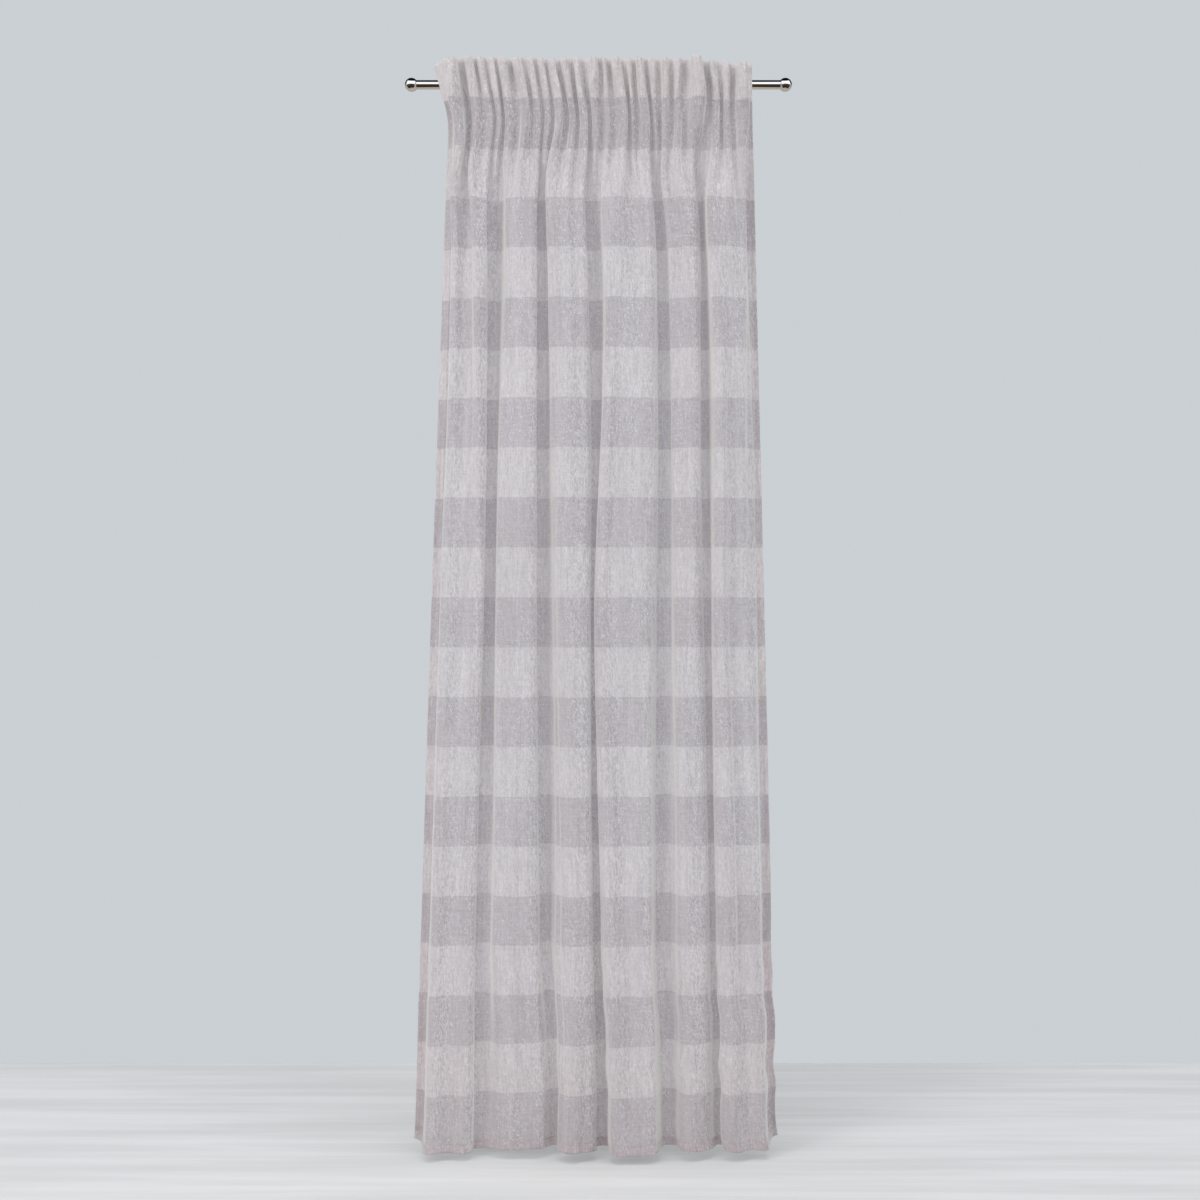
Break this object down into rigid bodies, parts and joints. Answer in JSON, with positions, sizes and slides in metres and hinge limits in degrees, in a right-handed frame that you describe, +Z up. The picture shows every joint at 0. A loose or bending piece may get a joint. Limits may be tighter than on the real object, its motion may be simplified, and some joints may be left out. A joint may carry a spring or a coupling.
{
  "type": "window curtain on a rod",
  "caption": "Semi-sheer banded window curtain, gathered by hidden loops on a chromed rod with ball finials, on two wall brackets.",
  "frame": {"origin": "on the wall plane, midway between the two wall plates and level with the rod's axis", "axes": "+Z up, +Y into the wall, +X to the right along the rod as seen from the room"},
  "size_m": [0.869, 0.1385, 2.4501],
  "materials": {
    "rod_chrome": "bright polished chrome",
    "bracket_chrome": "bright chrome, slightly softer than the rod",
    "screw_chrome": "bright chrome, fluted head",
    "plug_plastic": "matt black ribbed plastic",
    "curtain_cloth": "semi-sheer slub weave, grey-mauve bands on off-white, silver metallic thread",
    "hem_cloth": "the same cloth turned and stitched, so less sheer",
    "heading_tape": "off-white woven gathering tape with three draw-cord lines",
    "loop_webbing": "off-white woven strap"
  },
  "bodies": {
    "brackets": {"wall_plate_left": "bracket_chrome", "wall_plate_right": "bracket_chrome", "bracket_arm_left": "bracket_chrome", "bracket_arm_right": "bracket_chrome", "rod_cup_left": "bracket_chrome", "rod_cup_right": "bracket_chrome"},
    "lock_screw_left": {"lock_screw_left": "screw_chrome"},
    "lock_screw_right": {"lock_screw_right": "screw_chrome"},
    "rod": {"rod_tube": "rod_chrome"},
    "finial_left": {"finial_ball_left": "rod_chrome", "finial_plug_left": "plug_plastic"},
    "finial_right": {"finial_ball_right": "rod_chrome", "finial_plug_right": "plug_plastic"},
    "curtain": {"curtain_panel": "curtain_cloth", "side_hem_left": "hem_cloth", "side_hem_right": "hem_cloth", "bottom_hem": "hem_cloth", "heading_tape": "heading_tape", "loop_01": "loop_webbing"},
    "loop_02": {"loop_02": "loop_webbing"},
    "loop_03": {"loop_03": "loop_webbing"},
    "loop_04": {"loop_04": "loop_webbing"},
    "loop_05": {"loop_05": "loop_webbing"},
    "loop_06": {"loop_06": "loop_webbing"},
    "loop_07": {"loop_07": "loop_webbing"},
    "loop_08": {"loop_08": "loop_webbing"},
    "loop_09": {"loop_09": "loop_webbing"},
    "loop_10": {"loop_10": "loop_webbing"},
    "loop_11": {"loop_11": "loop_webbing"},
    "loop_12": {"loop_12": "loop_webbing"}
  },
  "joints": [
    {"name": "rod_lift", "type": "slide", "parent": "brackets", "child": "rod", "axis": [0, 0, 1], "range_m": [0, 0.03]},
    {"name": "finial_left_pull", "type": "slide", "parent": "rod", "child": "finial_left", "axis": [-1, 0, 0], "range_m": [0, 0.03]},
    {"name": "finial_right_pull", "type": "slide", "parent": "rod", "child": "finial_right", "axis": [1, 0, 0], "range_m": [0, 0.03]},
    {"name": "lock_screw_left_turn", "type": "hinge", "parent": "brackets", "child": "lock_screw_left", "pos_m": [-0.322, -0.085, -0.0178], "axis": [0, 0, 1], "range_deg": [-720, 0]},
    {"name": "lock_screw_right_turn", "type": "hinge", "parent": "brackets", "child": "lock_screw_right", "pos_m": [0.322, -0.085, -0.0178], "axis": [0, 0, 1], "range_deg": [-720, 0]},
    {"name": "curtain_swing", "type": "hinge", "parent": "rod", "child": "curtain", "pos_m": [0, -0.085, 0], "axis": [-1, 0, 0], "range_deg": [0, 12]},
    {"name": "curtain_draw", "type": "slide", "parent": "curtain", "child": "loop_12", "axis": [-1, 0, 0], "range_m": [0, 0.39], "deforming": ["curtain_panel", "side_hem_left", "side_hem_right", "bottom_hem", "heading_tape"]},
    {"name": "loop_02_draw", "type": "slide", "parent": "curtain", "child": "loop_02", "axis": [-1, 0, 0], "range_m": [0, 0.03546]},
    {"name": "loop_03_draw", "type": "slide", "parent": "curtain", "child": "loop_03", "axis": [-1, 0, 0], "range_m": [0, 0.07091]},
    {"name": "loop_04_draw", "type": "slide", "parent": "curtain", "child": "loop_04", "axis": [-1, 0, 0], "range_m": [0, 0.10637]},
    {"name": "loop_05_draw", "type": "slide", "parent": "curtain", "child": "loop_05", "axis": [-1, 0, 0], "range_m": [0, 0.14182]},
    {"name": "loop_06_draw", "type": "slide", "parent": "curtain", "child": "loop_06", "axis": [-1, 0, 0], "range_m": [0, 0.17727]},
    {"name": "loop_07_draw", "type": "slide", "parent": "curtain", "child": "loop_07", "axis": [-1, 0, 0], "range_m": [0, 0.21273]},
    {"name": "loop_08_draw", "type": "slide", "parent": "curtain", "child": "loop_08", "axis": [-1, 0, 0], "range_m": [0, 0.24818]},
    {"name": "loop_09_draw", "type": "slide", "parent": "curtain", "child": "loop_09", "axis": [-1, 0, 0], "range_m": [0, 0.28364]},
    {"name": "loop_10_draw", "type": "slide", "parent": "curtain", "child": "loop_10", "axis": [-1, 0, 0], "range_m": [0, 0.31909]},
    {"name": "loop_11_draw", "type": "slide", "parent": "curtain", "child": "loop_11", "axis": [-1, 0, 0], "range_m": [0, 0.35455]}
  ],
  "couplings": [
    {"joint": "loop_02_draw", "follows": "curtain_draw", "ratio": 0.090909},
    {"joint": "loop_03_draw", "follows": "curtain_draw", "ratio": 0.18182},
    {"joint": "loop_04_draw", "follows": "curtain_draw", "ratio": 0.27273},
    {"joint": "loop_05_draw", "follows": "curtain_draw", "ratio": 0.36364},
    {"joint": "loop_06_draw", "follows": "curtain_draw", "ratio": 0.45454},
    {"joint": "loop_07_draw", "follows": "curtain_draw", "ratio": 0.54546},
    {"joint": "loop_08_draw", "follows": "curtain_draw", "ratio": 0.63636},
    {"joint": "loop_09_draw", "follows": "curtain_draw", "ratio": 0.72727},
    {"joint": "loop_10_draw", "follows": "curtain_draw", "ratio": 0.81818},
    {"joint": "loop_11_draw", "follows": "curtain_draw", "ratio": 0.90909}
  ]
}
